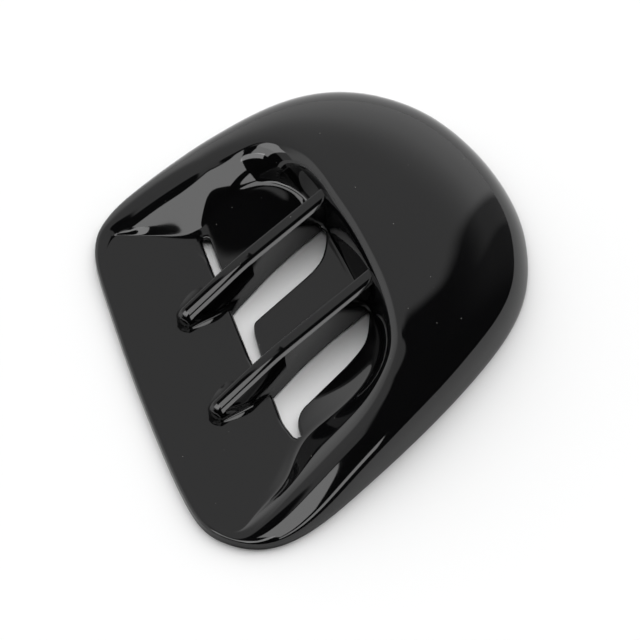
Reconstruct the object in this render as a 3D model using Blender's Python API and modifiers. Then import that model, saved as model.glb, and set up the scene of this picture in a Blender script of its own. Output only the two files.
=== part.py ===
"""Fender vent cover: one moulded shell with a raised hood, a flat ramp, slots and two air vanes.

Metres, +Z away from the fender. X runs along the vanes towards the closed side of the hood, and the flat
rim lies on z = 0. The hood's flank, crest and inner wall are one loft whose sections follow three plan
curves: the rim, the crest of the hood and the foot of its inner wall.
"""

import bmesh
import bpy
import numpy as np

MM = 0.001

# Shell
WALL = 2.8 * MM
RIM_WIDTH = 3.2 * MM
RIM_SIDE = 3.0 * MM
RAMP_HEIGHT = 4.4 * MM
FOOT_FILLET = 3.0 * MM
FLOOR_END = 3.0 * MM
CREST_BAND = 5.0 * MM
EDGE_CREST = 1.9 * MM
EDGE_FOOT = 3.6 * MM
EDGE_FLOOR = 5.2 * MM
EDGE_RISE = 0.1 * MM
EDGE_BAND = 0.08
RING_STEP = 0.2 * MM
# The rim's side and its inner face each have a ring at this share of their height.
RIM_MIDDLE = 0.4
RIM_INNER = 0.6
HOOD_STATIONS = 48
# Angles round the outer flank and back round its underside, in degrees.
FLANK_ANGLES = (22, 45, 68)
UNDER_ANGLES = (75, 50, 25)
# The inner wall turns over at the crest: how far in, the most of the way in and of the way down, where
# the turn starts, and where the wall's lower ring is. Underneath, one ring is BACK_SHARE of the way up.
BACK_SHARE = 0.7
CREST_ROUND = 4.2 * MM
ROUND_IN = 0.72
ROUND_DOWN = 0.2
ROUND_START = 0.3
WALL_LOW = 0.75

# Plan of the hood in millimetres, clockwise from its pointed upper left corner.
# Each row: rim x, y; inner crest x, y; crest above the ramp; share of the crest band;
# foot of the wall x, y and height above the ramp; inner end of the sloping floor x, y and height.
HOOD = [
    (-41.2, 75.4, -36.5, 72.5, 0.2, 0.1, -35.5, 71.0, 0.0, -34.2, 70.0, 0.0),
    (-34.1, 78.8, -29.5, 71.5, 2.1, 0.2, -31.0, 67.0, 0.0, -30.5, 65.2, 0.0),
    (-23.7, 80.9, -17.5, 70.0, 5.1, 0.3, -24.0, 60.5, 0.0, -24.0, 58.0, 0.0),
    (-6.5, 80.6, 3.5, 66.2, 10.0, 0.4, -13.5, 49.0, 0.0, -14.5, 46.0, 0.0),
    (10.0, 79.8, 12.5, 64.3, 11.2, 0.45, -7.0, 50.0, 2.0, -15.2, 29.5, -1.2),
    (24.8, 78.2, 20.3, 61.9, 12.6, 0.5, 5.0, 51.5, 3.0, -5.0, 26.5, -1.3),
    (49.3, 73.5, 32.8, 56.9, 15.6, 0.6, 23.0, 49.5, 4.0, 12.0, 26.5, -1.3),
    (69.7, 65.2, 38.9, 43.4, 18.6, 0.7, 31.5, 39.0, 3.0, 24.0, 26.5, -1.2),
    (85.9, 50.2, 38.5, 31.0, 20.6, 0.8, 33.5, 29.0, 1.0, 29.0, 26.0, -1.0),
    (97.3, 27.1, 36.0, 19.0, 21.6, 0.9, 30.5, 17.0, 0.0, 27.0, 16.0, 0.0),
    (98.9, -2.4, 33.5, 6.0, 22.1, 1.0, 27.0, 4.5, 0.0, 23.5, 5.0, 0.0),
    (92.7, -28.8, 29.5, -8.5, 22.1, 1.0, 22.5, -9.5, 0.0, 19.0, -8.5, 0.0),
    (81.7, -46.8, 24.5, -24.0, 21.6, 1.0, 18.5, -22.0, 1.2, 14.5, -17.5, -0.6),
    (68.2, -59.7, 18.0, -37.5, 21.1, 1.0, 12.7, -35.6, 4.2, 7.5, -25.5, -1.2),
    (49.0, -68.5, 10.5, -49.0, 19.6, 1.0, 5.2, -43.7, 6.0, 0.5, -28.5, -1.3),
    (21.2, -74.7, 1.0, -55.5, 17.1, 1.0, -6.9, -50.1, 6.6, -10.0, -31.5, -1.3),
    (-8.0, -78.7, -17.6, -63.7, 14.4, 0.9, -23.5, -52.0, 5.6, -25.5, -33.5, -1.3),
    (-37.4, -81.1, -43.0, -66.6, 11.0, 0.8, -44.0, -50.0, 0.9, -45.0, -44.5, -0.2),
    (-60.0, -82.1, -64.0, -68.1, 6.6, 0.6, -60.0, -60.5, 2.0, -57.5, -53.0, 0.0),
    (-77.9, -79.6, -81.4, -69.0, 2.6, 0.3, -77.5, -62.0, 0.0, -76.5, -59.0, 0.0),
    (-90.3, -71.9, -91.5, -67.5, 0.2, 0.1, -89.5, -64.5, 0.0, -88.8, -63.0, 0.0),
]
# Plan of the bare edge of the ramp, on from the hood's lower end.
RAMP_EDGE = [(-97.8, -57.9), (-97.1, -43.0), (-86.8, -14.6), (-72.0, 20.2), (-57.2, 51.0), (-48.9, 67.2)]

# Vanes: each has its far side at VANE_Y, and runs from its tip to an end inside the hood's wall.
VANE_Y = (25.0 * MM, -15.5 * MM)
VANE_TIP_X = (-41.0 * MM, -61.0 * MM)
VANE_END_X = (34.5 * MM, 27.5 * MM)
VANE_TOP_WIDTH = 3.8 * MM
VANE_HEIGHT = 18.5 * MM
VANE_ROUND = 2.6 * MM
VANE_FAR_ROUND = 0.8 * MM
VANE_FOOT = 2.2 * MM
VANE_FOOT_MOST = 0.5
VANE_RIB = 0.6 * MM
VANE_RISE = 0.05
NOSE_STEP = 0.8 * MM
NOSE_SLOPE = 0.74
NOSE_BLEND = 2.5 * MM
# The near round takes at most this share of a vane's height, and turns by these angles in degrees.
ROUND_SHARE = 0.25
ROUND_ANGLES = (35, 70)
# Shares of the way out and up at which the near foot curls, and of the way up the far side.
CURL_POINTS = ((0.0, 1.0), (0.25, 0.3))
FAR_POINTS = (0.0, 0.4, 1.0)
VANE_SECTIONS = 19
SECTION_CROWDING = 1.25
# A vane at each distance from its tip, in millimetres: how far its foot flares out on the near side, how
# much of a fillet it has there, and how far it flares out on the far side. Nothing flares over a slot.
FLARE = [
    (0.0, 1.2, 0.4, 1.0), (6.0, 4.3, 1.0, 4.2), (13.0, 7.6, 1.0, 6.2), (18.5, 7.3, 0.6, 5.8),
    (22.5, 7.0, 0.2, 0.4), (28.0, 6.6, 0.0, 0.0), (45.0, 4.0, 0.0, 0.0), (62.0, 2.7, 0.0, 0.0),
    (80.0, 2.5, 0.0, 0.0),
]

# Slots, as one comb in plan: the gap along the ramp's rolled edge, and a bay below each vane.
RAMP_ROLL = 2.5 * MM
TAB_ROUND = 0.9 * MM
ROLL_ANGLES = (0, 30, 60, 82)
MOUTH_TOP = 3.5 * MM
MOUTH_SPREAD = 0.95
SLOT_CORNER = 3.0 * MM
CORNER_MOST = 0.45
GAP_LEFT = [
    (-43.5, -46.0), (-42.4, -38.0), (-37.4, -27.0), (-32.6, -8.0),
    (-23.5, 13.4), (-16.4, 32.4), (-10.2, 46.5),
]
GAP_RIGHT = [(-7.4, 45.0), (-13.2, 31.6), (-16.6, 20.5)]
BAY_ONE = [(28.5, 20.5), (29.5, 16.0), (25.0, 11.2), (19.3, 7.3), (12.3, 5.6), (-20.6, 3.8)]
TAB_END = [(-23.2, 0.6), (-28.8, -9.8), (-32.8, -20.0)]
BAY_TWO = [
    (17.0, -20.0), (17.4, -23.5), (10.0, -30.6), (4.0, -34.0),
    (-4.0, -35.6), (-33.6, -38.8), (-38.6, -42.2), (-41.8, -48.4),
]

GLOSS_BLACK = (0.012, 0.012, 0.013, 1.0)
GLOSS_ROUGHNESS = 0.06


def clear_scene():
    for obj in list(bpy.data.objects):
        bpy.data.objects.remove(obj, do_unlink=True)


def collection(name, hidden=False):
    made = bpy.data.collections.new(name)
    made.hide_render = hidden
    bpy.context.scene.collection.children.link(made)
    return made


def gloss_black():
    """Black moulded plastic with a polished surface."""
    material = bpy.data.materials.new("gloss_black_plastic")
    material.use_nodes = True
    shader = material.node_tree.nodes["Principled BSDF"]
    shader.inputs["Base Color"].default_value = GLOSS_BLACK
    shader.inputs["Roughness"].default_value = GLOSS_ROUGHNESS
    return material


def closed_curve(points, count):
    """A closed Catmull-Rom curve through the points, read at evenly spaced parameters."""
    points = np.asarray(points, float)
    t = np.arange(count) * len(points) / count
    i, f = t.astype(int), (t % 1.0)[:, None]
    a, b, c, d = (points[(i + k) % len(points)] for k in (-1, 0, 1, 2))
    return b + 0.5 * f * (c - a + f * (2 * a - 5 * b + 4 * c - d + f * (3 * (b - c) + d - a)))


def sections():
    """Rim, crest, height, band, wall foot and floor's end at every station round the cover."""
    rows = [np.array(row) for row in HOOD]
    edge = np.array(RAMP_EDGE)
    ring = np.vstack([[row[:2] for row in rows], edge])
    step = np.roll(ring, -1, axis=0) - np.roll(ring, 1, axis=0)
    inward = np.stack([step[:, 1], -step[:, 0]], axis=1)
    inward /= np.linalg.norm(inward, axis=1)[:, None]
    for at, (x, y) in enumerate(edge, start=len(HOOD)):
        crest, foot, end = (ring[at] + far / MM * inward[at] for far in (EDGE_CREST, EDGE_FOOT, EDGE_FLOOR))
        rows.append(np.array([x, y, *crest, EDGE_RISE / MM, EDGE_BAND, *foot, 0.0, *end, 0.0]))
    table = closed_curve(rows, HOOD_STATIONS)
    size = table * MM
    raised = np.array([0.0, 0.0, RAMP_HEIGHT])
    return (size[:, 0:2], size[:, 2:4], RAMP_HEIGHT + size[:, 4], table[:, 5] * CREST_BAND,
            size[:, 6:9] + raised, size[:, 9:12] + raised)


def rim_centre():
    """Middle of the rim's extent in plan, after the Subdivision Surface has eased the ring once."""
    rim = sections()[0]
    eased = (np.roll(rim, 1, axis=0) + 6 * rim + np.roll(rim, -1, axis=0)) / 8
    return (eased.min(axis=0) + eased.max(axis=0)) / 2


def shell_rings():
    """Rings of the cage, from the outer edge of the rim over the hood to the ramp and back underneath."""
    rim, crest, height, band, foot, end = sections()
    out = rim - foot[:, :2]
    span = np.linalg.norm(out, axis=1)
    out /= span[:, None]
    crest_at = np.einsum("ij,ij->i", rim - crest, out)
    outer_crest = crest + band[:, None] * out
    flank = np.linalg.norm(rim - outer_crest, axis=1)
    to_rim = (rim - outer_crest) / flank[:, None]

    def ring(plan, z):
        return np.column_stack([plan, np.broadcast_to(z, len(plan))])

    rings = [ring(rim, 0.0), ring(rim, RIM_MIDDLE * RIM_SIDE), ring(rim, RIM_SIDE)]
    for angle in np.radians(FLANK_ANGLES):
        plan = outer_crest + (flank * np.cos(angle))[:, None] * to_rim
        rings.append(ring(plan, RIM_SIDE + (height - RIM_SIDE) * np.sin(angle)))
    rings.append(ring(outer_crest, height))
    rings += [ring(crest + (share * band)[:, None] * out, height) for share in (ROUND_START, 0.0)]
    across = foot[:, :2] - crest
    inwards = np.minimum(ROUND_IN, CREST_ROUND / np.linalg.norm(across, axis=1))
    down = np.minimum(ROUND_DOWN, ROUND_IN * inwards)
    for begun, further in ((ROUND_START, 0.0), (1.0, 0.0), (1.0, WALL_LOW)):
        share = begun * inwards + further * (1 - inwards)
        drop = begun * down + further * (1 - down)
        rings.append(ring(crest + share[:, None] * across, height - drop * (height - foot[:, 2])))
    floor = end - foot
    length = np.linalg.norm(floor, axis=1)
    floor /= length[:, None]
    beyond = end + np.minimum(FLOOR_END, length)[:, None] * floor
    rings += [foot, foot + np.minimum(FOOT_FILLET, length / 2)[:, None] * floor, end]
    rings.append(ring(beyond[:, :2], RAMP_HEIGHT))
    top_count = len(rings)

    under = RAMP_HEIGHT - WALL
    low = foot[:, 2] - WALL
    room = np.maximum(span - WALL, RIM_WIDTH + 4 * RING_STEP)
    back_top = np.clip(crest_at - WALL, RIM_WIDTH + 3 * RING_STEP, room)
    ceiling = np.maximum(height - WALL, low)
    inner_a = np.maximum(flank - RIM_WIDTH, RING_STEP)
    rings += [ring(beyond[:, :2], under), ring(end[:, :2], end[:, 2] - WALL)]
    rings.append(ring(rim - room[:, None] * out, low))
    middle = BACK_SHARE * back_top + (1 - BACK_SHARE) * room
    rings.append(ring(rim - middle[:, None] * out, low + BACK_SHARE * (ceiling - low)))
    rings.append(ring(rim - back_top[:, None] * out, ceiling))
    for angle in np.radians(UNDER_ANGLES):
        away = np.clip(crest_at - band - inner_a * np.cos(angle), RIM_WIDTH, back_top)
        rings.append(ring(rim - away[:, None] * out, under + (ceiling - under) * np.sin(angle)))
    rings += [ring(rim - RIM_WIDTH * out, RIM_INNER * under), ring(rim - RIM_WIDTH * out, 0.0)]
    return rings, top_count


def shell():
    """The cage as a mesh, closed by the flat ramp above and below, and smoothed by a Subdivision Surface."""
    rings, top_count = shell_rings()
    count = len(rings[0])
    bm = bmesh.new()
    loops = [[bm.verts.new(p) for p in ring] for ring in rings]
    for k in range(len(loops)):
        if k == top_count - 1:
            continue
        a, b = loops[k], loops[(k + 1) % len(loops)]
        for i in range(count):
            j = (i + 1) % count
            bm.faces.new((a[i], a[j], b[j], b[i]))
    bm.faces.new(loops[top_count - 1])
    bm.faces.new(loops[top_count])
    crease = bm.edges.layers.float.new("crease_edge")
    for loop in (loops[0], loops[-1]):
        for i in range(count):
            bm.edges.get((loop[i], loop[(i + 1) % count]))[crease] = 1.0
    bmesh.ops.recalc_face_normals(bm, faces=bm.faces)
    mesh = bpy.data.meshes.new("vent_cover")
    bm.to_mesh(mesh)
    bm.free()
    mesh.shade_smooth()
    obj = bpy.data.objects.new("vent_cover", mesh)
    smooth = obj.modifiers.new("smooth", "SUBSURF")
    smooth.levels = smooth.render_levels = 1
    return obj


def rounded(points, radius, steps=4):
    """The closed outline with each corner turned by an arc, limited by the sides beside it."""
    points = np.asarray(points, float) * MM
    made = []
    for i, p in enumerate(points):
        a, b = points[i - 1] - p, points[(i + 1) % len(points)] - p
        la, lb = np.linalg.norm(a), np.linalg.norm(b)
        a, b = a / la, b / lb
        reach = min(radius, CORNER_MOST * la, CORNER_MOST * lb)
        for t in np.linspace(0, 1, steps + 1):
            made.append((1 - t) ** 2 * (p + reach * a) + 2 * t * (1 - t) * p + t**2 * (p + reach * b))
    return np.array(made)


def outward(points):
    """Unit normals of a closed outline, away from its inside."""
    step = np.roll(points, -1, axis=0) - np.roll(points, 1, axis=0)
    normal = np.stack([step[:, 1], -step[:, 0]], axis=1)
    area = np.sum(points[:, 0] * np.roll(points[:, 1], -1) - np.roll(points[:, 0], -1) * points[:, 1])
    return np.sign(area) * normal / np.linalg.norm(normal, axis=1)[:, None]


def slot_cutter():
    """A comb-shaped prism through the floor, whose mouth widens round a quarter circle at each point."""
    plan = rounded(GAP_LEFT + GAP_RIGHT + BAY_ONE + TAB_END + BAY_TWO, SLOT_CORNER)
    normal = outward(plan)
    mouth = gap_mouth(plan)
    levels = [(-WALL, 0.0)]
    for angle in np.radians(ROLL_ANGLES):
        levels.append((np.sin(angle), 1 - np.cos(angle)))
    bm = bmesh.new()
    loops = []
    for k, (rise, spread) in enumerate(levels):
        z = np.full(len(plan), rise) if k == 0 else RAMP_HEIGHT + mouth * (rise - 1)
        wide = plan + (mouth * spread)[:, None] * normal
        loops.append([bm.verts.new((*p, h)) for p, h in zip(wide, z)])
    top = plan + (mouth * MOUTH_SPREAD)[:, None] * normal
    loops.append([bm.verts.new((*p, RAMP_HEIGHT + TAB_ROUND)) for p in top])
    loops.append([bm.verts.new((*p, RAMP_HEIGHT + MOUTH_TOP)) for p in plan])
    for a, b in zip(loops, loops[1:]):
        for i in range(len(a)):
            j = (i + 1) % len(a)
            bm.faces.new((a[i], a[j], b[j], b[i]))
    bm.faces.new(loops[0])
    bm.faces.new(loops[-1])
    bmesh.ops.triangulate(bm, faces=[f for f in bm.faces if len(f.verts) > 4])
    bmesh.ops.recalc_face_normals(bm, faces=bm.faces)
    mesh = bpy.data.meshes.new("slots")
    bm.to_mesh(mesh)
    bm.free()
    return bpy.data.objects.new("slots", mesh)


def gap_mouth(plan):
    """The ramp's side of the gap is rolled over, and the floor tabs have a small round."""
    left = np.array(GAP_LEFT) * MM
    edge = np.interp(plan[:, 1], left[:, 1], left[:, 0])
    return np.where(plan[:, 0] < edge + TAB_ROUND, RAMP_ROLL, TAB_ROUND)


def vane_top(distance):
    """Height of a vane's top edge: a straight nose that bends over into a slight rise towards the hood."""
    tip = RAMP_HEIGHT + NOSE_STEP
    shoulder = (VANE_HEIGHT - tip) / NOSE_SLOPE
    nose = tip + NOSE_SLOPE * distance
    back = VANE_HEIGHT + VANE_RISE * (distance - shoulder)
    h = np.clip(0.5 + 0.5 * (nose - back) / NOSE_BLEND, 0, 1)
    return nose * (1 - h) + back * h - NOSE_BLEND * h * (1 - h)


def vane_section(y, top, flare, fillet, far):
    """Section from the foot of the far side over the flat top and down the near side to its flared foot."""
    bottom = RAMP_HEIGHT - WALL - VANE_RIB
    near = y - VANE_TOP_WIDTH
    turn = min(VANE_ROUND, ROUND_SHARE * (top - bottom))
    points = [(y + far, bottom)]
    for up in FAR_POINTS:
        points.append((y + far * (1 - up) ** 2, RAMP_HEIGHT + up * (top - VANE_FAR_ROUND - RAMP_HEIGHT)))
    points += [(y - VANE_FAR_ROUND, top), (near, top)]
    for angle in np.radians(ROUND_ANGLES):
        points.append((near - turn * np.sin(angle), top - turn * (1 - np.cos(angle))))
    (start, high), low = points[-1], near - flare
    curl = min(VANE_FOOT, VANE_FOOT_MOST * (high - RAMP_HEIGHT))
    for out, up in CURL_POINTS:
        z = RAMP_HEIGHT + up * curl
        side = start + (low - start) * (high - z) / (high - bottom)
        points.append((side - out * fillet * curl, z))
    points.append((low - fillet * curl, bottom))
    return points


def vane(name, y, tip, end):
    """A vane as a loft of unlike sections, closer together at its nose."""
    distance, *columns = np.array(FLARE).T
    bm = bmesh.new()
    loops = []
    for d in (end - tip) * np.linspace(0, 1, VANE_SECTIONS) ** SECTION_CROWDING:
        out, fillet, far = (np.interp(d, distance * MM, column) for column in columns)
        section = vane_section(y, vane_top(d), out * MM, fillet, far * MM)
        loops.append([bm.verts.new((tip + d, *p)) for p in section])
    for a, b in zip(loops, loops[1:]):
        for i in range(len(a)):
            j = (i + 1) % len(a)
            bm.faces.new((a[i], a[j], b[j], b[i]))
    bm.faces.new(loops[0])
    bm.faces.new(loops[-1])
    bmesh.ops.recalc_face_normals(bm, faces=bm.faces)
    mesh = bpy.data.meshes.new(name)
    bm.to_mesh(mesh)
    bm.free()
    return bpy.data.objects.new(name, mesh)


def boolean(obj, other, operation):
    step = obj.modifiers.new(f"{operation.lower()} {other.name}", "BOOLEAN")
    step.operation = operation
    step.object = other


def main():
    clear_scene()
    product = collection("fender_vent_cover")
    tools = collection("cutters", hidden=True)
    cover = shell()
    product.objects.link(cover)
    cover.data.materials.append(gloss_black())
    slots = slot_cutter()
    vanes = [
        vane(f"vane_{k + 1}", y, tip, end)
        for k, (y, tip, end) in enumerate(zip(VANE_Y, VANE_TIP_X, VANE_END_X))
    ]
    for helper in [slots, *vanes]:
        tools.objects.link(helper)
        helper.hide_render = True
        helper.display_type = "WIRE"
    base = bpy.data.objects.new("base_centre", None)
    product.objects.link(base)
    base.location[:2] = -rim_centre()
    for obj in [cover, slots, *vanes]:
        obj.parent = base
    boolean(cover, slots, "DIFFERENCE")
    for blade in vanes:
        boolean(cover, blade, "UNION")


main()
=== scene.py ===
# %% [markdown]
# # A gloss black fender vent cover
#
# This lesson dresses one injection-moulded part: a cover for an air outlet in a car's fender. It has a
# flat ramp, a raised hood that hugs the ramp on three sides, a comb-shaped slot and two air vanes that
# grow out of the ramp and end inside the hood.
#
# Gloss black plastic shows nothing but its reflections, so the whole lesson is about two things: a
# surface that is smooth enough to carry a clean reflection, and lamps that give it something to reflect.

# %% Load the frame
import math

import bpy
import numpy as np
from mathutils import Matrix, Vector


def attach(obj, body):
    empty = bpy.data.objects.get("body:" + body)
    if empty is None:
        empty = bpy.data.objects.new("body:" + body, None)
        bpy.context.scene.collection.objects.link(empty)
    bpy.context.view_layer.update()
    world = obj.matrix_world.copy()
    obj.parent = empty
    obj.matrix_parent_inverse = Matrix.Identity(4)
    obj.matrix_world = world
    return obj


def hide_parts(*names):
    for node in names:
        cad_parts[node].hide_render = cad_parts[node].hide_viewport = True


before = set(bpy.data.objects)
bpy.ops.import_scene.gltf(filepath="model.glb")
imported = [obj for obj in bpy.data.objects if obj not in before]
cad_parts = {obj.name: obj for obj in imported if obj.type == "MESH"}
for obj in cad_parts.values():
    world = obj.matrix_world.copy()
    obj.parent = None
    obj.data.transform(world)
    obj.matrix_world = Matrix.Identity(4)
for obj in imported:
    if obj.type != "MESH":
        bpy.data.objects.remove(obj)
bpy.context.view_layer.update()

# %% [markdown]
# ## The sizes of the moulding
#
# A moulding like this is drawn from a few sizes: its wall, the width of the rim that lies on the fender,
# the radii of its edges, and four curves in plan. The curves are the rim, the crest of the hood, the foot
# of the hood's inner wall, and the line where the floor below that wall stops sloping. Each row below is
# one station along them, so the curves, their heights and the width of the crest's band stay together.

# %% Sizes of the shell
MM = 0.001

WALL = 2.8 * MM
RIM_WIDTH = 3.2 * MM
RIM_SIDE = 3.0 * MM
RAMP_HEIGHT = 4.4 * MM
FOOT_FILLET = 3.0 * MM
FLOOR_END = 3.0 * MM
CREST_BAND = 5.0 * MM
CREST_ROUND = 4.2 * MM
ROUND_IN = 0.72
ROUND_DOWN = 0.2
ROUND_START = 0.3
WALL_LOW = 0.75
RIM_HOLD = 0.4
RIM_INSIDE = 0.6
BACK_CORNER = (0.7, 0.3)
EDGE_CREST = 1.9 * MM
EDGE_FOOT = 3.6 * MM
EDGE_FLOOR = 5.2 * MM
EDGE_RISE = 0.1 * MM
EDGE_BAND = 0.08
RING_STEP = 0.2 * MM
HOOD_STATIONS = 48
FLANK_ANGLES = (22, 45, 68)
UNDER_ANGLES = (75, 50, 25)

# Each row, in millimetres, clockwise from the pointed upper left corner:
# rim x, y; inner crest x, y; crest above the ramp; share of the crest band;
# foot of the wall x, y and height above the ramp; inner end of the sloping floor x, y and height.
HOOD = [
    (-41.2, 75.4, -36.5, 72.5, 0.2, 0.1, -35.5, 71.0, 0.0, -34.2, 70.0, 0.0),
    (-34.1, 78.8, -29.5, 71.5, 2.1, 0.2, -31.0, 67.0, 0.0, -30.5, 65.2, 0.0),
    (-23.7, 80.9, -17.5, 70.0, 5.1, 0.3, -24.0, 60.5, 0.0, -24.0, 58.0, 0.0),
    (-6.5, 80.6, 3.5, 66.2, 10.0, 0.4, -13.5, 49.0, 0.0, -14.5, 46.0, 0.0),
    (10.0, 79.8, 12.5, 64.3, 11.2, 0.45, -7.0, 50.0, 2.0, -15.2, 29.5, -1.2),
    (24.8, 78.2, 20.3, 61.9, 12.6, 0.5, 5.0, 51.5, 3.0, -5.0, 26.5, -1.3),
    (49.3, 73.5, 32.8, 56.9, 15.6, 0.6, 23.0, 49.5, 4.0, 12.0, 26.5, -1.3),
    (69.7, 65.2, 38.9, 43.4, 18.6, 0.7, 31.5, 39.0, 3.0, 24.0, 26.5, -1.2),
    (85.9, 50.2, 38.5, 31.0, 20.6, 0.8, 33.5, 29.0, 1.0, 29.0, 26.0, -1.0),
    (97.3, 27.1, 36.0, 19.0, 21.6, 0.9, 30.5, 17.0, 0.0, 27.0, 16.0, 0.0),
    (98.9, -2.4, 33.5, 6.0, 22.1, 1.0, 27.0, 4.5, 0.0, 23.5, 5.0, 0.0),
    (92.7, -28.8, 29.5, -8.5, 22.1, 1.0, 22.5, -9.5, 0.0, 19.0, -8.5, 0.0),
    (81.7, -46.8, 24.5, -24.0, 21.6, 1.0, 18.5, -22.0, 1.2, 14.5, -17.5, -0.6),
    (68.2, -59.7, 18.0, -37.5, 21.1, 1.0, 12.7, -35.6, 4.2, 7.5, -25.5, -1.2),
    (49.0, -68.5, 10.5, -49.0, 19.6, 1.0, 5.2, -43.7, 6.0, 0.5, -28.5, -1.3),
    (21.2, -74.7, 1.0, -55.5, 17.1, 1.0, -6.9, -50.1, 6.6, -10.0, -31.5, -1.3),
    (-8.0, -78.7, -17.6, -63.7, 14.4, 0.9, -23.5, -52.0, 5.6, -25.5, -33.5, -1.3),
    (-37.4, -81.1, -43.0, -66.6, 11.0, 0.8, -44.0, -50.0, 0.9, -45.0, -44.5, -0.2),
    (-60.0, -82.1, -64.0, -68.1, 6.6, 0.6, -60.0, -60.5, 2.0, -57.5, -53.0, 0.0),
    (-77.9, -79.6, -81.4, -69.0, 2.6, 0.3, -77.5, -62.0, 0.0, -76.5, -59.0, 0.0),
    (-90.3, -71.9, -91.5, -67.5, 0.2, 0.1, -89.5, -64.5, 0.0, -88.8, -63.0, 0.0),
]
# The bare edge of the ramp, on from the hood's lower end.
RAMP_EDGE = [(-97.8, -57.9), (-97.1, -43.0), (-86.8, -14.6), (-72.0, 20.2), (-57.2, 51.0), (-48.9, 67.2)]
print(len(HOOD), "stations along the hood and", len(RAMP_EDGE), "along the ramp's edge")

# %% [markdown]
# ## Curves through the stations
#
# A Catmull-Rom curve goes through its points and turns smoothly at each, and it works on whole rows at
# once, so the rim, the crest and the foot are read at the same place along the part in one step.


# %% Read the four curves
def closed_curve(points, count):
    """Closed Catmull-Rom curve: b + f/2 (c - a + f (2a - 5b + 4c - d + f (3b - 3c + d - a)))."""
    points = np.asarray(points, float)
    t = np.arange(count) * len(points) / count
    i, f = t.astype(int), (t % 1.0)[:, None]
    a, b, c, d = (points[(i + k) % len(points)] for k in (-1, 0, 1, 2))
    return b + 0.5 * f * (c - a + f * (2 * a - 5 * b + 4 * c - d + f * (3 * (b - c) + d - a)))


def sections():
    """Rim, crest, crest height, band width, wall foot and floor's end at every station round the cover."""
    rows = [np.array(row) for row in HOOD]
    edge = np.array(RAMP_EDGE)
    ring = np.vstack([[row[:2] for row in rows], edge])
    step = np.roll(ring, -1, axis=0) - np.roll(ring, 1, axis=0)
    inward = np.stack([step[:, 1], -step[:, 0]], axis=1)
    inward /= np.linalg.norm(inward, axis=1)[:, None]
    for at, (x, y) in enumerate(edge, start=len(HOOD)):
        crest, foot, end = (ring[at] + far / MM * inward[at] for far in (EDGE_CREST, EDGE_FOOT, EDGE_FLOOR))
        rows.append(np.array([x, y, *crest, EDGE_RISE / MM, EDGE_BAND, *foot, 0.0, *end, 0.0]))
    table = closed_curve(rows, HOOD_STATIONS)
    size = table * MM
    raised = np.array([0.0, 0.0, RAMP_HEIGHT])
    return (size[:, 0:2], size[:, 2:4], RAMP_HEIGHT + size[:, 4], table[:, 5] * CREST_BAND,
            size[:, 6:9] + raised, size[:, 9:12] + raised)


rim_line = sections()[0]
eased = (np.roll(rim_line, 1, axis=0) + 6 * rim_line + np.roll(rim_line, -1, axis=0)) / 8
# The part's frame has its origin in the middle of the rim.
PLAN_SHIFT = -(eased.min(axis=0) + eased.max(axis=0)) / 2
print("plan moves by", np.round(PLAN_SHIFT / MM, 2), "mm to centre the rim")

# %% [markdown]
# ## A cage of rings
#
# The shell runs from the lower edge of the rim up the flank, over the crest, down the inner wall and onto
# the ramp. Then it comes back underneath, one wall's thickness away. Each ring of the cage is one step on
# that way, all round the part. Where the hood runs out to nothing, its height and its band shrink, and
# the same rings describe the bare edge of the ramp.


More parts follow.
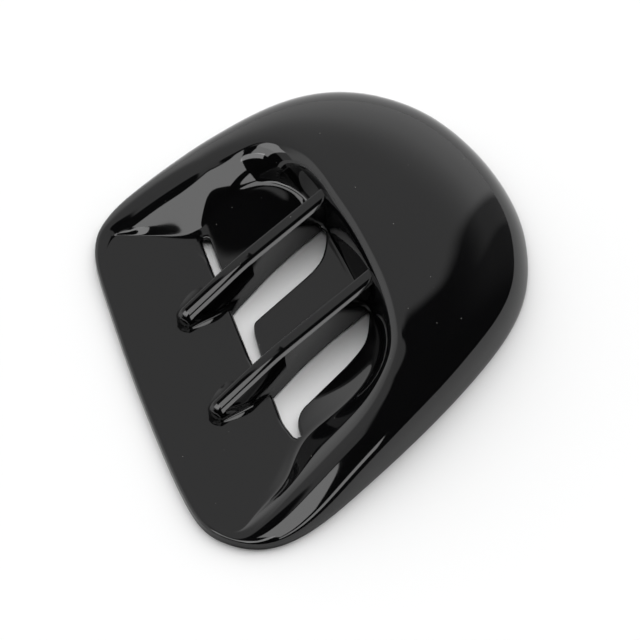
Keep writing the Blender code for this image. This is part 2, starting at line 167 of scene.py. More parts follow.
# %% Rings of the cage
def shell_rings():
    """Sixteen rings on the outside and ten underneath, each with one point per station.

    A flank ring lies at crest + flank * cos(angle) in plan and rises with sin(angle), a quarter ellipse.
    A ring of the inner wall lies at a share of the way from the crest to the wall's foot. A ring
    underneath lies a wall's thickness inside the outer one, and never closer to the rim than its width."""
    rim, crest, height, band, foot, end = sections()
    out = rim - foot[:, :2]
    span = np.linalg.norm(out, axis=1)
    out /= span[:, None]
    crest_at = np.einsum("ij,ij->i", rim - crest, out)
    outer_crest = crest + band[:, None] * out
    flank = np.linalg.norm(rim - outer_crest, axis=1)
    to_rim = (rim - outer_crest) / flank[:, None]

    def ring(plan, z):
        """Points of a plan curve at one height, or at one height for each station."""
        return np.column_stack([plan, np.broadcast_to(z, len(plan))])

    top = [ring(rim, 0.0), ring(rim, RIM_HOLD * RIM_SIDE), ring(rim, RIM_SIDE)]
    for angle in np.radians(FLANK_ANGLES):
        plan = outer_crest + (flank * np.cos(angle))[:, None] * to_rim
        top.append(ring(plan, RIM_SIDE + (height - RIM_SIDE) * np.sin(angle)))
    top += [ring(outer_crest, height)]
    top += [ring(crest + (share * band)[:, None] * out, height) for share in (ROUND_START, 0.0)]
    across = foot[:, :2] - crest
    inwards = np.minimum(ROUND_IN, CREST_ROUND / np.linalg.norm(across, axis=1))
    down = np.minimum(ROUND_DOWN, ROUND_IN * inwards)
    for begun, further in ((ROUND_START, 0.0), (1.0, 0.0), (1.0, WALL_LOW)):
        share = begun * inwards + further * (1 - inwards)
        drop = begun * down + further * (1 - down)
        top.append(ring(crest + share[:, None] * across, height - drop * (height - foot[:, 2])))
    floor = end - foot
    length = np.linalg.norm(floor, axis=1)
    floor /= length[:, None]
    beyond = end + np.minimum(FLOOR_END, length)[:, None] * floor
    top += [foot, foot + np.minimum(FOOT_FILLET, length / 2)[:, None] * floor, end]
    top.append(ring(beyond[:, :2], RAMP_HEIGHT))

    under = RAMP_HEIGHT - WALL
    low = foot[:, 2] - WALL
    room = np.maximum(span - WALL, RIM_WIDTH + 4 * RING_STEP)
    back_top = np.clip(crest_at - WALL, RIM_WIDTH + 3 * RING_STEP, room)
    ceiling = np.maximum(height - WALL, low)
    inner_a = np.maximum(flank - RIM_WIDTH, RING_STEP)
    below = [ring(beyond[:, :2], under), ring(end[:, :2], end[:, 2] - WALL)]
    below.append(ring(rim - room[:, None] * out, low))
    high_share, low_share = BACK_CORNER
    corner = high_share * back_top + low_share * room
    below.append(ring(rim - corner[:, None] * out, low + high_share * (ceiling - low)))
    below.append(ring(rim - back_top[:, None] * out, ceiling))
    for angle in np.radians(UNDER_ANGLES):
        away = np.clip(crest_at - band - inner_a * np.cos(angle), RIM_WIDTH, back_top)
        below.append(ring(rim - away[:, None] * out, under + (ceiling - under) * np.sin(angle)))
    below += [ring(rim - RIM_WIDTH * out, under * RIM_INSIDE), ring(rim - RIM_WIDTH * out, 0.0)]
    return np.array(top), np.array(below)


top_cage, under_cage = shell_rings()
print("cage:", top_cage.shape, "outside and", under_cage.shape, "underneath")

# %% [markdown]
# ## From the cage to a smooth surface
#
# A black gloss surface betrays every flat facet, so the cage is not shown as it is. It steers a bicubic
# B-spline surface, the surface that a Subdivision Surface modifier comes closer to with each level. It
# can be computed in closed form: each point is a weighted mean of sixteen points of the cage. Round the
# part the cage is closed. Across it, a made-up row beyond each end makes the surface start and end
# exactly on its first and last ring.

# %% Evaluate the B-spline
ROUND_STEPS = 9
ACROSS_STEPS = 8
UNDER_STEPS = 3


def spline_weights(f):
    """Uniform cubic B-spline: (1-f)^3, 3f^3-6f^2+4, -3f^3+3f^2+3f+1 and f^3, each over 6."""
    return np.array([(1 - f) ** 3, 3 * f**3 - 6 * f**2 + 4, -3 * f**3 + 3 * f**2 + 3 * f + 1, f**3]) / 6


def along_open(cage, steps):
    """Spline across the rings, with a phantom ring 2a - b beyond each end."""
    padded = np.concatenate([[2 * cage[0] - cage[1]], cage, [2 * cage[-1] - cage[-2]]])
    t = np.arange((len(cage) - 1) * steps + 1) / steps
    i = np.minimum(t.astype(int), len(cage) - 2)
    w = spline_weights(t - i)
    return sum(w[k][:, None, None] * padded[i + k] for k in range(4))


def along_closed(rows, steps):
    """Spline round the stations, which close on themselves."""
    count = rows.shape[1]
    t = np.arange(count * steps) / steps
    i = t.astype(int)
    w = spline_weights(t - i)
    return sum(w[k][None, :, None] * rows[:, (i + k - 1) % count] for k in range(4))


def smooth_surface(cage, steps):
    """The spline across the rings, and then round the stations."""
    return along_closed(along_open(cage, steps), ROUND_STEPS)


top_skin = smooth_surface(top_cage, ACROSS_STEPS)
under_skin = smooth_surface(under_cage, UNDER_STEPS)
print("outside grid", top_skin.shape[:2], "underside grid", under_skin.shape[:2])

# %% [markdown]
# ## Closing the shell
#
# Both skins become quads. The ramp closes the upper skin with one flat polygon and the underside with
# another, and a ring of quads at z = 0 makes the flat rim that lies against the fender. The result is one
# closed body, which a Boolean needs to tell inside from outside.


# %% Make the shell
def new_piece(name, points, faces):
    """A mesh object at the origin from points and faces, smooth shaded."""
    mesh = bpy.data.meshes.new(name)
    mesh.from_pydata(np.asarray(points, float).tolist(), [], faces)
    mesh.update()
    mesh.shade_smooth()
    piece = bpy.data.objects.new(name, mesh)
    bpy.context.scene.collection.objects.link(piece)
    return piece


def grid_faces(rows, columns, first=0):
    """Quads of a grid that is closed along its rows: a, next a, next b, b."""
    a = first + np.arange(rows - 1)[:, None] * columns + np.arange(columns)[None, :]
    b = first + np.arange(rows - 1)[:, None] * columns + (np.arange(columns)[None, :] + 1) % columns
    return np.stack([a, b, b + columns, a + columns], axis=-1).reshape(-1, 4)


def shell_piece():
    """Upper skin, ramp, underside and rim as one closed body."""
    rows, columns = top_skin.shape[:2]
    skin = np.concatenate([top_skin, under_skin])
    quads = np.concatenate([
        grid_faces(rows, columns),
        grid_faces(under_skin.shape[0], columns, first=rows * columns),
    ])
    last = (len(skin) - 1) * columns
    ring = np.arange(columns)
    turn = (ring + 1) % columns
    rim = np.stack([last + ring, last + turn, turn, ring], axis=-1)
    faces = quads[:, ::-1].tolist() + rim[:, ::-1].tolist()
    faces.append(((rows - 1) * columns + ring)[::-1].tolist())
    faces.append((rows * columns + ring).tolist())
    return new_piece("shell", skin.reshape(-1, 3), faces)


shell = shell_piece()
print("shell:", len(shell.data.polygons), "faces")

# %% [markdown]
# ## The comb-shaped slot
#
# Air leaves through one slot with three arms: a narrow gap along the ramp's rolled edge, and a bay below
# each vane. The edge of the ramp is rolled over generously, and the floor tabs between the arms have a
# small round. Both are cut at once by a body that widens towards its mouth round a quarter circle.

# %% Sizes of the slot
RAMP_ROLL = 2.5 * MM
TAB_ROUND = 0.9 * MM
SLOT_CORNER = 3.0 * MM
CORNER_SHARE = 0.45
CORNER_STEPS = 10
ROLL_TURN = math.radians(84)
ROLL_STEPS = 9
MOUTH_WIDE = 0.97
MOUTH_OVER = 0.9 * MM
MOUTH_TOP = 3.5 * MM
GAP_LEFT = [
    (-43.5, -46.0), (-42.4, -38.0), (-37.4, -27.0), (-32.6, -8.0),
    (-23.5, 13.4), (-16.4, 32.4), (-10.2, 46.5),
]
GAP_RIGHT = [(-7.4, 45.0), (-13.2, 31.6), (-16.6, 20.5)]
BAY_ONE = [(28.5, 20.5), (29.5, 16.0), (25.0, 11.2), (19.3, 7.3), (12.3, 5.6), (-20.6, 3.8)]
TAB_END = [(-23.2, 0.6), (-28.8, -9.8), (-32.8, -20.0)]
BAY_TWO = [
    (17.0, -20.0), (17.4, -23.5), (10.0, -30.6), (4.0, -34.0),
    (-4.0, -35.6), (-33.6, -38.8), (-38.6, -42.2), (-41.8, -48.4),
]


# %% Make the cutter
def rounded(points, radius, steps):
    """Each corner p becomes the parabola (1-t)^2 a + 2t(1-t) p + t^2 b between points on its two sides."""
    p = np.asarray(points, float) * MM
    before, after = np.roll(p, 1, axis=0) - p, np.roll(p, -1, axis=0) - p
    la, lb = np.linalg.norm(before, axis=1), np.linalg.norm(after, axis=1)
    reach = np.minimum(radius, CORNER_SHARE * np.minimum(la, lb))
    a, b = p + (reach / la)[:, None] * before, p + (reach / lb)[:, None] * after
    t = np.linspace(0, 1, steps + 1)[None, :, None]
    return ((1 - t) ** 2 * a[:, None] + 2 * t * (1 - t) * p[:, None] + t**2 * b[:, None]).reshape(-1, 2)


def outward(points):
    """Unit normals of a closed outline, away from its inside."""
    step = np.roll(points, -1, axis=0) - np.roll(points, 1, axis=0)
    normal = np.stack([step[:, 1], -step[:, 0]], axis=1)
    area = np.sum(points[:, 0] * np.roll(points[:, 1], -1) - np.roll(points[:, 0], -1) * points[:, 1])
    return np.sign(area) * normal / np.linalg.norm(normal, axis=1)[:, None]


def slot_cutter():
    """The outline carried down through the floor, and up and out round a quarter circle at its mouth."""
    plan = rounded(GAP_LEFT + GAP_RIGHT + BAY_ONE + TAB_END + BAY_TWO, SLOT_CORNER, CORNER_STEPS)
    normal = outward(plan)
    left = np.array(GAP_LEFT) * MM
    edge = np.interp(plan[:, 1], left[:, 1], left[:, 0])
    mouth = np.where(plan[:, 0] < edge + TAB_ROUND, RAMP_ROLL, TAB_ROUND)
    rings = [np.column_stack([plan, np.full(len(plan), -WALL)])]
    for angle in np.linspace(0, ROLL_TURN, ROLL_STEPS):
        wide = plan + (mouth * (1 - np.cos(angle)))[:, None] * normal
        rings.append(np.column_stack([wide, RAMP_HEIGHT + mouth * (np.sin(angle) - 1)]))
    wide = plan + (mouth * MOUTH_WIDE)[:, None] * normal
    rings.append(np.column_stack([wide, np.full(len(plan), RAMP_HEIGHT + MOUTH_OVER)]))
    rings.append(np.column_stack([plan, np.full(len(plan), RAMP_HEIGHT + MOUTH_TOP)]))
    count = len(plan)
    faces = grid_faces(len(rings), count).tolist()
    faces.append(list(range(count))[::-1])
    faces.append(list(range((len(rings) - 1) * count, len(rings) * count)))
    return new_piece("slot_cutter", np.concatenate(rings), faces)


cutter = slot_cutter()
print("slot cutter:", len(cutter.data.polygons), "faces")

# %% [markdown]
# ## The two vanes
#
# Each vane starts as a short blunt nose, like the bow of a boat, climbs at about 15 degrees, bends over
# and then runs almost level into the hood. Its top is flat and its far edge is only broken. Its near edge
# is broken in three steps: a bevel that fades out along the nose, and below it a dark and a bright band
# that run the whole length. Flat bands catch a lamp as one crisp line, where a plain round would blur it.
# The near side flares out towards its foot. It is a loft: the section is a function of the distance from
# the tip, and over the first few millimetres it draws in to the middle of the nose.

# %% Sizes of the vanes
VANE_Y = (25.0 * MM, -15.5 * MM)
VANE_TIP_X = (-43.8 * MM, -63.3 * MM)
VANE_END_X = (34.5 * MM, 27.5 * MM)
VANE_TOP_WIDTH = 3.8 * MM
VANE_HEIGHT = 18.5 * MM
VANE_FAR_ROUND = 0.8 * MM
VANE_FOOT = 2.2 * MM
VANE_RIB = 0.6 * MM
VANE_RISE = 0.05
NOSE_LIP = 1.7 * MM
NOSE_FRONT = 4.9 * MM
NOSE_FRONT_LENGTH = 4.2 * MM
NOSE_SLOPE = 0.26
NOSE_BLEND = 2.5 * MM
BOW_LENGTH = 2.6 * MM
BOW_NARROW = 0.3
BOW_LEAN = 1.0 * MM
LEAN_LENGTH = 6.0 * MM
VANE_SECTIONS = 130
SECTION_CROWD = 1.8
FAR_SHARE = 0.4
FAR_STEPS = 8
FAR_ROUND_STEPS = 5
CURL_SHARE = 0.5
CURL_TURN = math.radians(70)
CURL_STEPS = 8
EASE_REACH = 3
EASE_STEPS = 13
# At each distance from the tip, in millimetres: the widths of the top's flat strip, of the light bevel
# beside it, of the dark bevel below and of the bright one below that.
BANDS = np.array([
    (0.0, 2.6, 1.3, 0.8, 1.1), (20.0, 3.1, 1.0, 0.9, 1.1),
    (34.0, 3.8, 0.0, 1.1, 1.0), (80.0, 3.8, 0.0, 1.1, 0.8),
])
BAND_TILTS = (28.0, 41.0, 46.5)
BAND_CORNER = 0.12
BAND_DROP = 0.9
# At each distance from the tip, in millimetres: how far the foot flares out on the near side, its share
# of a fillet there, and how far it flares out on the far side.
FLARE = np.array([
    (0.0, 1.2, 0.4, 1.0), (6.0, 4.3, 1.0, 4.2), (13.0, 7.6, 1.0, 6.2), (18.5, 7.3, 0.6, 5.8),
    (22.5, 7.0, 0.2, 0.4), (28.0, 6.6, 0.0, 0.0), (45.0, 4.0, 0.0, 0.0), (62.0, 2.7, 0.0, 0.0),
    (80.0, 2.5, 0.0, 0.0),
])


# %% Make the vanes
def quarter_round(distance, length):
    """A quarter of an ellipse: 0 at the tip, 1 from the length on, upright at the tip."""
    return np.sqrt(1 - (1 - np.clip(distance / length, 0, 1)) ** 2)


def vane_top(distance):
    """Round front, then the smooth minimum of the nose's slope and the back's slight rise."""
    shoulder = (VANE_HEIGHT - RAMP_HEIGHT - NOSE_LIP - NOSE_FRONT) / NOSE_SLOPE
    front = NOSE_LIP + NOSE_FRONT * quarter_round(distance, NOSE_FRONT_LENGTH)
    nose = RAMP_HEIGHT + front + NOSE_SLOPE * distance
    back = VANE_HEIGHT + VANE_RISE * (distance - shoulder)
    h = np.clip(0.5 + 0.5 * (nose - back) / NOSE_BLEND, 0, 1)
    return nose * (1 - h) + back * h - NOSE_BLEND * h * (1 - h)


def smooth_read(x, table, column):
    """The table's column read at x, as the mean of readings up to EASE_REACH millimetres either side."""
    at = x[:, None] + np.linspace(-EASE_REACH, EASE_REACH, EASE_STEPS)[None, :] * MM
    return np.interp(at, table[:, 0] * MM, table[:, column]).mean(axis=1)


def bevels(y, distance, top):
    """Near edge of the top as three flat bands, each steeper than the last, with tight corners.

    A band falls by its width times the tangent of its tilt. Low on the nose, all three shrink together,
    so that they fall no further than BAND_DROP of the nose's height."""
    widths = [smooth_read(distance, BANDS, column) * MM for column in range(1, 5)]
    falls = [width * math.tan(math.radians(tilt)) for width, tilt in zip(widths[1:], BAND_TILTS)]
    share = np.minimum(1.0, BAND_DROP * (top - RAMP_HEIGHT) / sum(falls))
    side, level = y - widths[0], top
    points = [(side, level)]
    for width, fall in zip(widths[1:], falls):
        for part in (BAND_CORNER, 1 - BAND_CORNER):
            points.append((side - part * share * width, level - part * share * fall))
        side, level = side - share * width, level - share * fall
    points.append((side, level))
    return points


def vane_piece(name, y, tip, end):
    """Sections from the foot of the far side, over the top, down the near side to the flared foot.

    The far side's foot flares out as the square of the way down, and the near side runs straight down to
    a curl of (1 - cos, 1 - sin). The sections crowd towards the tip as a power of their number. The bow
    draws the section's width in to the middle of the nose, as a quarter of an ellipse, and its foot
    stands back from its top by BOW_LEAN at the tip, which fades out along the nose."""
    d = (end - tip) * np.linspace(0, 1, VANE_SECTIONS) ** SECTION_CROWD
    top = vane_top(d)
    flare = smooth_read(d, FLARE, 1) * MM
    fillet = smooth_read(d, FLARE, 2)
    far = smooth_read(d, FLARE, 3) * MM
    bottom = RAMP_HEIGHT - WALL - VANE_RIB
    near = y - VANE_TOP_WIDTH
    outline = [(y + far, np.full_like(d, bottom))]
    turn = np.minimum(VANE_FAR_ROUND, FAR_SHARE * (top - RAMP_HEIGHT))
    for up in np.linspace(0, 1, FAR_STEPS)[:-1]:
        outline.append((y + far * (1 - up) ** 2, RAMP_HEIGHT + up * (top - turn - RAMP_HEIGHT)))
    for angle in np.linspace(0, np.pi / 2, FAR_ROUND_STEPS):
        outline.append((y - turn * (1 - np.cos(angle)), top - turn * (1 - np.sin(angle))))
    outline += bevels(y, d, top)
    (start, high), low = outline[-1], near - flare
    curl = np.minimum(VANE_FOOT, CURL_SHARE * (high - RAMP_HEIGHT))
    for angle in np.linspace(0, CURL_TURN, CURL_STEPS):
        z = RAMP_HEIGHT + curl * (1 - np.sin(angle))
        side = start + (low - start) * (high - z) / (high - bottom)
        outline.append((side - (1 - np.cos(angle)) * fillet * curl, z))
    outline.append((low - fillet * curl, np.full_like(d, bottom)))
    section = np.array(outline)
    middle = y - VANE_TOP_WIDTH / 2
    bow = BOW_NARROW + (1 - BOW_NARROW) * quarter_round(d, BOW_LENGTH)
    section[:, 0] = middle + (section[:, 0] - middle) * bow
    up = np.clip((section[:, 1] - RAMP_HEIGHT) / NOSE_FRONT, 0, 1)
    lean = BOW_LEAN * (1 - up) ** 2 * np.clip(1 - d / LEAN_LENGTH, 0, 1) ** 2
    points = np.stack([tip + d + lean, section[:, 0], section[:, 1]], axis=-1)
    points = points.transpose(1, 0, 2)
    count = points.shape[1]
    faces = grid_faces(len(points), count).tolist()
    faces.append(list(range(count))[::-1])
    faces.append(list(range((len(points) - 1) * count, len(points) * count)))
    return new_piece(name, points.reshape(-1, 3), faces)


vanes = [
    vane_piece(f"vane_{k + 1}", y, tip, end)
    for k, (y, tip, end) in enumerate(zip(VANE_Y, VANE_TIP_X, VANE_END_X))
]
print("vanes:", [len(vane.data.polygons) for vane in vanes], "faces each")

# %% [markdown]
# ## One moulding
#
# The slot is cut out of the shell, and then the vanes are joined to it, with the exact Boolean solver.
# The result is read back as a plain mesh, moved to the part's own centre and shaded smooth, with sharp
# edges only where two surfaces really meet at an angle.

# %% Cut and join
# The smooth surface stands a few hundredths of a millimetre outside the CAD's facets, so it is made that
# much smaller, and stays inside the CAD model's box.
FIT = 0.9992
SHARP_ANGLE = math.radians(32)


def facing_out(piece):
    """Turns a closed mesh's faces outwards if its volume, the sum of det(a, b, c) / 6, is negative."""
    mesh = piece.data
    mesh.calc_loop_triangles()
    points = np.empty(3 * len(mesh.vertices))
    mesh.vertices.foreach_get("co", points)
    corners = np.empty(3 * len(mesh.loop_triangles), dtype=np.int32)
    mesh.loop_triangles.foreach_get("vertices", corners)
    triangles = points.reshape(-1, 3)[corners.reshape(-1, 3)]
    if np.linalg.det(triangles).sum() < 0:
        mesh.flip_normals()


for piece in [shell, cutter, *vanes]:
    facing_out(piece)

for other, operation in [(cutter, "DIFFERENCE"), (vanes[0], "UNION"), (vanes[1], "UNION")]:
    step = shell.modifiers.new(other.name, "BOOLEAN")
    step.operation = operation
    step.object = other

graph = bpy.context.evaluated_depsgraph_get()
moulding = bpy.data.meshes.new_from_object(shell.evaluated_get(graph))
for helper in [shell, cutter, *vanes]:
    bpy.data.objects.remove(helper)
moulding.transform(Matrix.Scale(FIT, 4) @ Matrix.Translation((*PLAN_SHIFT, 0.0)))
moulding.shade_smooth()
moulding.set_sharp_from_angle(angle=SHARP_ANGLE)
moulding.name = "moulded_cover"
cover = bpy.data.objects.new("moulded_cover", moulding)
bpy.context.scene.collection.objects.link(cover)
moulding.calc_loop_triangles()
print("moulded cover:", len(moulding.loop_triangles), "triangles")

# %% [markdown]
# ## Gloss black plastic
#
# The colour of the plastic is nearly black, and all that shows is its clear, sharp reflection. Small
# things make it real: a very shallow waviness that the mould and the shrinking plastic leave, a faint
# unevenness of the gloss, a haze along the edges that hands and cloths rub most, and a little dust that
# lies on what faces up. The back comes from the unpolished half of the mould, so it is satin and has a
# fine grain.
#
# The back and the edges belong to the shape, so they are worked out from the mesh and kept in it as two
# attributes. The pattern of the waves, the haze and the dust reads the object's own coordinates.

# %% Mark the back and the edges
BACK_TURN = (0.15, 0.5)
EDGE_BEND = (0.10, 0.45)


def smooth_step(low, high, value):
    """0 below low, 1 above high, and 3t^2 - 2t^3 between them."""
    t = np.clip((value - low) / (high - low), 0, 1)
    return t * t * (3 - 2 * t)


def mark_surface(mesh):
    """Back: how far a vertex faces down. Worn: how much the normals bend between it and its neighbours."""
    normals = np.empty(3 * len(mesh.vertices))
    mesh.vertex_normals.foreach_get("vector", normals)
    normals = normals.reshape(-1, 3)
    ends = np.empty(2 * len(mesh.edges), dtype=np.int32)
    mesh.edges.foreach_get("vertices", ends)
    ends = ends.reshape(-1, 2)
    bend = np.linalg.norm(normals[ends[:, 0]] - normals[ends[:, 1]], axis=1)
    worst = np.zeros(len(normals))
    for side in (0, 1):
        np.maximum.at(worst, ends[:, side], bend)
    values = {
        "back": smooth_step(*BACK_TURN, -normals[:, 2]),
        "worn": smooth_step(*EDGE_BEND, worst),
    }
    for name, value in values.items():
        mesh.attributes.new(name, "FLOAT", "POINT").data.foreach_set("value", value.astype(np.float32))
    return {name: round(float(value.mean()), 3) for name, value in values.items()}


print("mean of the marks:", mark_surface(moulding))

# %% Make the material
PLASTIC_BLACK = (0.0028, 0.0028, 0.0031, 1.0)
DUST_GREY = (0.16, 0.16, 0.15, 1.0)
PLASTIC_IOR = 1.5
GLOSS = (0.030, 0.050)
HAZE_RANGE = (0.3, 0.7)
HAZE_DETAIL = 4.0
EDGE_HAZE = 0.05
BACK_SATIN = 0.30
HAZE_SCALE = 45.0
WAVE_SCALE = 55.0
WAVE_DETAIL = 1.0
WAVE_DEPTH = 0.035 * MM
GRAIN_SCALE = 2200.0
GRAIN_DETAIL = 2.0
GRAIN_DEPTH = 0.02 * MM
DUST_CELLS = 420.0
DUST_SIZE = (0.10, 0.06)
DUST_SHARE = (0.93, 0.95)


def add_node(tree, kind, values=None, **settings):
    """A node with its settings, its plain input values and its linked inputs in one call."""
    node = tree.nodes.new("ShaderNode" + kind)
    for setting, value in settings.items():
        setattr(node, setting, value)
    for socket, value in (values or {}).items():
        if isinstance(value, bpy.types.NodeSocket):
            tree.links.new(value, node.inputs[socket])
        else:
            node.inputs[socket].default_value = value
    return node


def maths(tree, operation, a, b=0.0):
    """One Math node: the operation on a and b, each a number or a socket."""
    return add_node(tree, "Math", {0: a, 1: b}, operation=operation).outputs[0]


def between(tree, value, low, high, start=0.0, stop=1.0):
    """Smooth step from start to stop while the value goes from low to high."""
    values = {"Value": value, "From Min": low, "From Max": high, "To Min": start, "To Max": stop}
    return add_node(tree, "MapRange", values, interpolation_type="SMOOTHSTEP").outputs["Result"]


def gloss_plastic():
    """Black base with dust, gloss that varies, and waves and grain as bump."""
    material = bpy.data.materials.new("gloss_black_plastic")
    material.use_nodes = True
    tree = material.node_tree
    shader = tree.nodes["Principled BSDF"]
    shader.inputs["IOR"].default_value = PLASTIC_IOR
    place = add_node(tree, "TexCoord").outputs["Object"]
    back = add_node(tree, "Attribute", attribute_name="back").outputs["Fac"]
    worn = add_node(tree, "Attribute", attribute_name="worn").outputs["Fac"]

    def noise(scale, detail):
        """Noise on the object's coordinates, from 0 to 1."""
        return add_node(tree, "TexNoise", {"Vector": place, "Scale": scale, "Detail": detail}).outputs["Fac"]

    cells = add_node(tree, "TexVoronoi", {"Vector": place, "Scale": DUST_CELLS})
    speck = between(tree, cells.outputs["Distance"], *DUST_SIZE)
    lot = add_node(tree, "SeparateColor", {"Color": cells.outputs["Color"]}).outputs["Red"]
    chosen = between(tree, lot, *DUST_SHARE)
    front = maths(tree, "SUBTRACT", 1.0, back)
    dust = maths(tree, "MULTIPLY", maths(tree, "MULTIPLY", speck, chosen), front)
    colour = add_node(tree, "MixRGB", {"Fac": dust, "Color1": PLASTIC_BLACK, "Color2": DUST_GREY})
    tree.links.new(colour.outputs["Color"], shader.inputs["Base Color"])

    gloss = between(tree, noise(HAZE_SCALE, HAZE_DETAIL), *HAZE_RANGE, *GLOSS)
    gloss = maths(tree, "ADD", gloss, maths(tree, "MULTIPLY", worn, EDGE_HAZE))
    gloss = maths(tree, "ADD", gloss, maths(tree, "MULTIPLY", back, BACK_SATIN))
    tree.links.new(gloss, shader.inputs["Roughness"])

    waves = add_node(tree, "Bump", {"Height": noise(WAVE_SCALE, WAVE_DETAIL), "Distance": WAVE_DEPTH})
    grain = maths(tree, "MULTIPLY", noise(GRAIN_SCALE, GRAIN_DETAIL), back)
    both = add_node(tree, "Bump", {"Height": grain, "Distance": GRAIN_DEPTH,
                                   "Normal": waves.outputs["Normal"]})
    tree.links.new(both.outputs["Normal"], shader.inputs["Normal"])
    return material


plastic = gloss_plastic()
cover.data.materials.clear()
cover.data.materials.append(plastic)
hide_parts("vent_cover")
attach(cover, "root")
print("material:", plastic.name, "with", len(plastic.node_tree.nodes), "nodes")

# %% [markdown]
# ## Camera
#
# The cover is seen almost in parallel projection, from 42 degrees round to the left and 60 degrees up.
# One pixel of a 640-pixel picture is 0.4 mm. The middle of the drawing lies at a known pixel, which
# fixes where the camera stands.

# %% Place the camera
PICTURE = 640
PIXEL = 0.4 * MM
DRAWING_ORIGIN = (298.3, 304.2)
AZIMUTH, ELEVATION = math.radians(-42), math.radians(60)
DISTANCE = 0.8

towards = Vector((math.sin(AZIMUTH) * math.cos(ELEVATION), -math.cos(AZIMUTH) * math.cos(ELEVATION),
                  math.sin(ELEVATION)))
right = Vector((math.cos(AZIMUTH), math.sin(AZIMUTH), 0))
up = towards.cross(right)
target = (Vector((*PLAN_SHIFT, 0.0))
          - (DRAWING_ORIGIN[0] - PICTURE / 2) * PIXEL * right
          + (DRAWING_ORIGIN[1] - PICTURE / 2) * PIXEL * up)
lens = bpy.data.cameras.new("camera")
lens.type = "ORTHO"
lens.ortho_scale = PICTURE * PIXEL
camera = bpy.data.objects.new("camera", lens)
camera.matrix_world = (Matrix.Translation(target + DISTANCE * towards)
                       @ Matrix((right, up, towards)).transposed().to_4x4())
bpy.context.scene.collection.objects.link(camera)
bpy.context.scene.camera = camera
print("camera looks at", [round(v / MM, 1) for v in target], "mm")

# %% [markdown]
# ## Floor
#
# The floor is a plain white sheet. It is a matt surface that keeps the cover's soft shadow, and it shows
# through the slots.

# %% Lay the floor
FLOOR_REACH = 4.0
PAPER_WHITE = (0.94, 0.94, 0.94, 1.0)
PAPER_ROUGH = 0.9


def white_floor():
    """A square sheet at z = 0, matt and without gloss."""
    mesh = bpy.data.meshes.new("floor")
    r = FLOOR_REACH
    mesh.from_pydata([(-r, -r, 0), (r, -r, 0), (r, r, 0), (-r, r, 0)], [], [(0, 1, 2, 3)])
    paper = bpy.data.materials.new("white_paper")
    paper.use_nodes = True
    shader = paper.node_tree.nodes["Principled BSDF"]
    shader.inputs["Base Color"].default_value = PAPER_WHITE
    shader.inputs["Roughness"].default_value = PAPER_ROUGH
    shader.inputs["Specular IOR Level"].default_value = 0.0
    mesh.materials.append(paper)
    sheet = bpy.data.objects.new("floor", mesh)
    bpy.context.scene.collection.objects.link(sheet)
    return sheet


floor = white_floor()
print("floor reaches", FLOOR_REACH, "m each way")

# %% [markdown]
# ## Lamps
#
# Four soft boxes stand on the near and the left side. Each one is named by the patch of sky that it
# fills: x and y are degrees from straight up, x towards the closed side of the hood and y across the
# vanes. A tall one makes the light patch on the upper wall and on the flank below, a low wide one draws
# the bright lines along the vanes, and two on the left light the hood's corner and the bevels of the
# vanes' noses. The boxes are for reflections. The floor is lit by the room, so that its shadow is soft.
#
# What a gloss surface shows of a lamp is its radiance, which for an area lamp is its power over pi times
# its area. So a lamp's power is worked out from the radiance that it should have.

# %% Hang the lamps
LAMP_FAR = 5.0
# x from, x to, y from, y to in degrees from straight up, and radiance.
SOFT_BOXES = {
    "tall_box": (-16.0, 5.0, -57.0, -4.0, 3.4),
    "low_box": (-20.0, 27.0, -73.0, -62.0, 3.5),
    "left_box": (-64.0, -25.0, -28.0, 14.0, 3.4),
    "slanting_box": (-52.0, -14.0, -38.0, -24.0, 4.5),
}


def sky_point(x, y):
    """Direction that lies hypot(x, y) degrees from straight up, turned towards (x, y)."""
    away = math.radians(math.hypot(x, y))
    turn = math.atan2(y, x)
    return Vector((math.sin(away) * math.cos(turn), math.sin(away) * math.sin(turn), math.cos(away)))


def soft_box(name, x0, x1, y0, y1, radiance):
    """Area lamp facing the cover: its sides are the mean sides of the patch of sky's four corners.

    Its power is the radiance times pi times its area."""
    a, b, c, d = (LAMP_FAR * sky_point(x, y) for x, y in ((x0, y0), (x1, y0), (x1, y1), (x0, y1)))
    across, along = (b + c - a - d) / 2, (c + d - a - b) / 2
    back = sky_point((x0 + x1) / 2, (y0 + y1) / 2)
    side = (across - across.dot(back) * back).normalized()
    light = bpy.data.lights.new(name, "AREA")
    light.shape = "RECTANGLE"
    light.size, light.size_y = across.length, along.length
    light.energy = radiance * math.pi * light.size * light.size_y
    lamp = bpy.data.objects.new(name, light)
    axes = Matrix((side, back.cross(side), back)).transposed().to_4x4()
    lamp.matrix_world = Matrix.Translation(LAMP_FAR * back) @ axes
    lamp.visible_diffuse = False
    bpy.context.scene.collection.objects.link(lamp)
    return lamp


for name, patch in SOFT_BOXES.items():
    lamp = soft_box(name, *patch)
    print(name, round(lamp.data.size, 2), "by", round(lamp.data.size_y, 2), "m", round(lamp.data.energy), "W")

# %% [markdown]
# ## The room
#
# The rest of the light comes from the world, which stands for the room: a pale wall on the far side that
# is brighter low down, a pale strip overhead, and a dark near side. Gloss plastic shows all of that: the
# wall gives the ramp its grey, and the dark side gives the hood's flank its black. A dark gap a little to
# the left of straight up is what the left end of the hood's inner wall shows, so that it is black too.
#
# Matt surfaces get their light from the far side too, as soft light at a plain level, at which the white
# paper renders white. So the cover's shadow lies on the near side, and the light under the vanes falls
# off towards the hood.

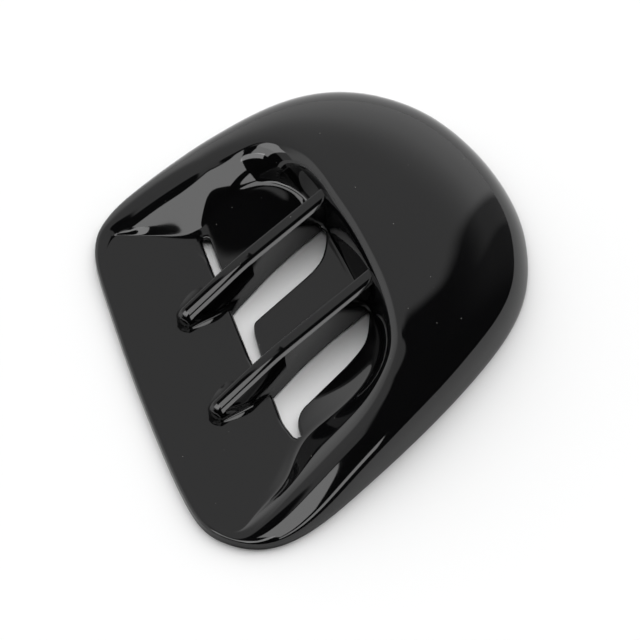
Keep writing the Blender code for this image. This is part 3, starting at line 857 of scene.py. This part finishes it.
# %% Light the room
# Each tone is a share of white. Each range is the part of the direction's x, y or z over which that tone
# comes in, as a smooth step: x towards the closed side of the hood, y across the vanes, and z up.
FAR_WALL = 0.72
WALL_Y = (0.13, 0.20)
FAR_WALL_GLOW = 0.9
GLOW_Z = (0.743, 0.375)
FAR_WALL_LOW = 0.65
LOW_Z = (0.26, -0.34)
RIGHT_X = (-0.02, 0.02)
HALF_TONE = 0.33
HALF_Y, HALF_Z = (-0.03, 0.05), (0.766, 0.5)
DIM_TONE = 0.10
DIM_Y, DIM_Z = (-0.5, 0.0), (0.866, 0.5)
OVERHEAD = 0.68
OVERHEAD_Y, OVERHEAD_X = (-0.087, -0.052), (0.174, 0.14)
GAP_CENTRE, GAP_REACH = (-0.19, 0.105), (0.14, 0.245)
GAP_EDGE = (0.72, 1.21)
ROOM_DARK = 0.02
UNDER_FLOOR_Z = (-0.10, -0.08)
FAR_SIDE = (0.67, 0.74)
SOFT_LIGHT = 2.2
SOFT_EDGE = (-0.3, 0.3)


def product(tree, *factors):
    """The factors multiplied, one Math node for each after the first."""
    result = factors[0]
    for factor in factors[1:]:
        result = maths(tree, "MULTIPLY", result, factor)
    return result


def overhead_gap(tree, x, y):
    """0 inside an ellipse of the sky and 1 outside: a step of ((x-a)/p)^2 + ((y-b)/q)^2."""
    gap_x = maths(tree, "DIVIDE", maths(tree, "SUBTRACT", x, GAP_CENTRE[0]), GAP_REACH[0])
    gap_y = maths(tree, "DIVIDE", maths(tree, "SUBTRACT", y, GAP_CENTRE[1]), GAP_REACH[1])
    away = maths(tree, "ADD", product(tree, gap_x, gap_x), product(tree, gap_y, gap_y))
    return between(tree, away, *GAP_EDGE)


def room_shown(tree, x, y, z):
    """What the camera and reflections see: the brightest of four tones, dark in the gap.

    Below the horizon it is as white as the floor, for a view that starts lower than the floor."""
    glow = maths(tree, "ADD", 1.0, between(tree, z, *GLOW_Z, 0.0, FAR_WALL_GLOW))
    low = between(tree, z, *LOW_Z, 1.0, FAR_WALL_LOW)
    wall = product(tree, between(tree, y, *WALL_Y), glow, low, FAR_WALL)
    right_side = between(tree, x, *RIGHT_X)
    half = product(tree, between(tree, y, *HALF_Y), between(tree, z, *HALF_Z), right_side, HALF_TONE)
    dim = product(tree, between(tree, y, *DIM_Y), between(tree, z, *DIM_Z), right_side, DIM_TONE)
    strip = product(tree, between(tree, y, *OVERHEAD_Y), between(tree, x, *OVERHEAD_X), OVERHEAD)
    room = maths(tree, "MAXIMUM", maths(tree, "MAXIMUM", wall, half), maths(tree, "MAXIMUM", dim, strip))
    room = maths(tree, "ADD", product(tree, room, overhead_gap(tree, x, y)), ROOM_DARK)
    return maths(tree, "MAXIMUM", room, between(tree, z, *UNDER_FLOOR_Z, 1.0, 0.0))


def studio_world():
    """The room for the camera and for reflections, and soft light from its far side for matt surfaces.

    The soft light is a smooth step of x and y weighed by the direction of the far side."""
    world = bpy.data.worlds.new("studio")
    world.use_nodes = True
    tree = world.node_tree
    direction = add_node(tree, "TexCoord").outputs["Generated"]
    x, y, z = add_node(tree, "SeparateXYZ", {"Vector": direction}).outputs
    across, along = (product(tree, axis, share) for axis, share in zip((x, y), FAR_SIDE))
    soft = between(tree, maths(tree, "ADD", across, along), *SOFT_EDGE, 0.0, SOFT_LIGHT)
    matt = add_node(tree, "LightPath").outputs["Is Diffuse Ray"]
    shown = room_shown(tree, x, y, z)
    level = add_node(tree, "Mix", {"Factor": matt, "A": shown, "B": soft}).outputs["Result"]
    background = tree.nodes["Background"]
    background.inputs["Color"].default_value = (1, 1, 1, 1)
    tree.links.new(level, background.inputs["Strength"])
    return world


bpy.context.scene.world = studio_world()
bpy.context.scene.view_settings.view_transform = "Standard"
print("world:", bpy.context.scene.world.name, "with", len(bpy.context.scene.world.node_tree.nodes), "nodes")
